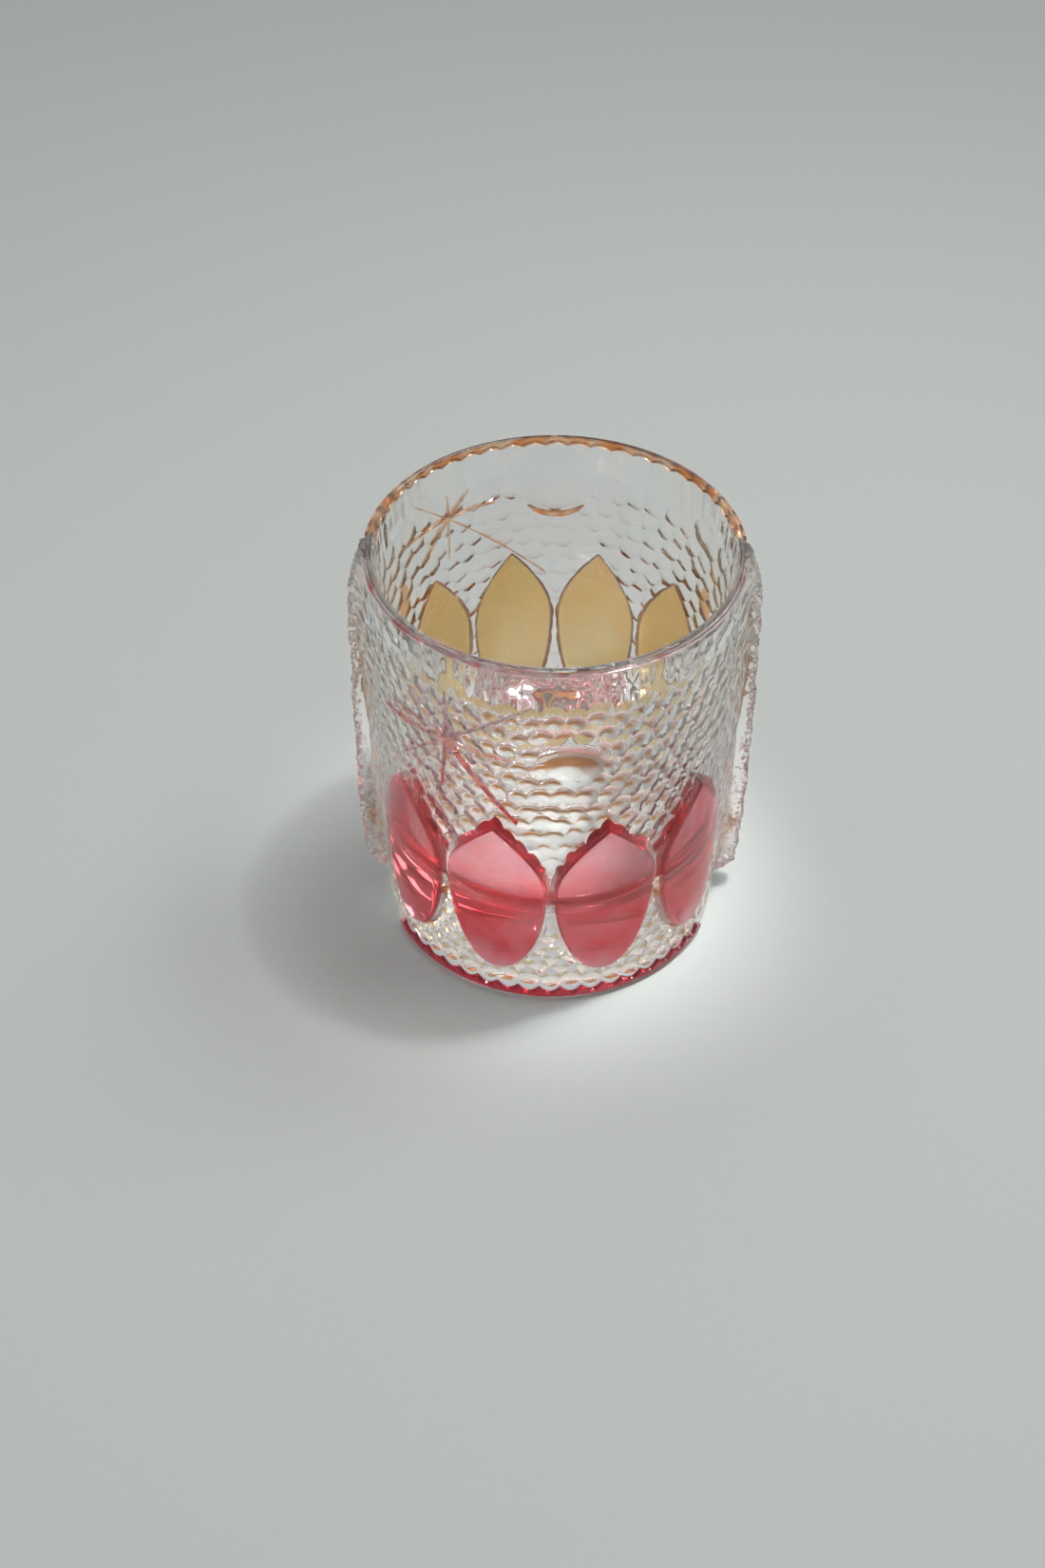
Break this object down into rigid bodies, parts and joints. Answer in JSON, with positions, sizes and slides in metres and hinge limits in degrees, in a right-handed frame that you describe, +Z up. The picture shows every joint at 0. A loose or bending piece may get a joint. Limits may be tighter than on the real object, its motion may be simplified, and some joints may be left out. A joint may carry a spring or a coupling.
{
  "type": "rocks glass",
  "caption": "Straight-sided cut crystal tumbler with a thick base, scale cuts, petal panels of ruby and amber casing and two upright side fins, for drinks over ice.",
  "frame": {"origin": "middle of the underside, on the surface that the glass stands on", "axes": "+Z up through the middle of the glass, -Y towards the ruby front, +X towards the right fin seen from the front"},
  "size_m": [0.0889, 0.08, 0.0995],
  "materials": {
    "crystal": "clear lead-free crystal, cut and fire polished",
    "chipped_crystal": "clear crystal with polished flanks and a rough chipped outer edge",
    "ruby_casing": "thin transparent ruby casing, polished",
    "amber_casing": "thin transparent amber casing, polished"
  },
  "bodies": {
    "root": {"crystal_body": "crystal", "fin_left": "chipped_crystal", "fin_right": "chipped_crystal", "ruby_petal_1": "ruby_casing", "ruby_petal_2": "ruby_casing", "ruby_petal_3": "ruby_casing", "ruby_petal_4": "ruby_casing", "amber_petal_1": "amber_casing", "amber_petal_2": "amber_casing", "amber_petal_3": "amber_casing", "amber_petal_4": "amber_casing", "amber_crescent": "amber_casing", "ruby_star": "ruby_casing", "amber_star": "amber_casing", "amber_rim_band": "amber_casing", "ruby_lip_band": "ruby_casing", "ruby_foot_ring": "ruby_casing", "amber_foot_ring": "amber_casing"}
  },
  "joints": []
}
